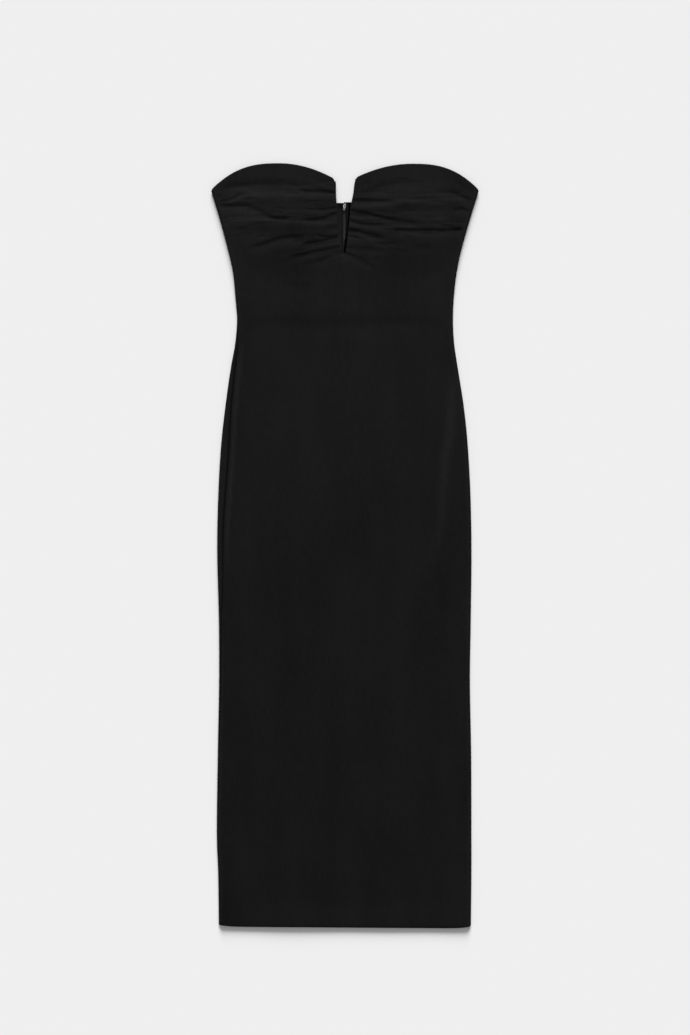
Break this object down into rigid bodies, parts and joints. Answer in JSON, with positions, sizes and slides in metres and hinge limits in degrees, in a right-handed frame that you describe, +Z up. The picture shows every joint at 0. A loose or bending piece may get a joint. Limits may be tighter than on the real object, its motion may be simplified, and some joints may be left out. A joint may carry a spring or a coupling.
{
  "type": "midi dress",
  "caption": "Strapless stretch-crepe midi dress laid flat, front up: padded sweetheart bust gathered to a centre notch, nipped waist, long straight skirt, back zip.",
  "frame": {"origin": "middle of the bounding box, to 2 mm, on the surface that the dress lies on", "axes": "+Y from the hem to the neck edge, +X to the wearer's left, +Z up from the surface towards the front of the dress"},
  "size_m": [0.4092, 1.1696, 0.0112],
  "materials": {
    "crepe": "matte black stretch crepe with a faint soft sheen",
    "zip_tape": "matte black knitted polyester tape",
    "zip_coil": "satin black nylon coil",
    "zip_paint": "satin black paint, lightly worn at the edges",
    "zip_metal": "bright silver plated zinc, lightly worn"
  },
  "bodies": {
    "dress": {"front_panel": "crepe", "back_right": "crepe", "back_left": "crepe", "zip_tape_right": "zip_tape", "zip_tape_left": "zip_tape", "zip_coil": "zip_coil", "zip_slider": "zip_paint"},
    "pull_tab": {"zip_pull_tab": "zip_metal"}
  },
  "joints": [
    {"name": "pull_tab_swing", "type": "hinge", "parent": "dress", "child": "pull_tab", "pos_m": [0.0001, 0.5228, 0.0046], "axis": [-0.9781, 0.2079, 0], "range_deg": [0, 180]}
  ]
}
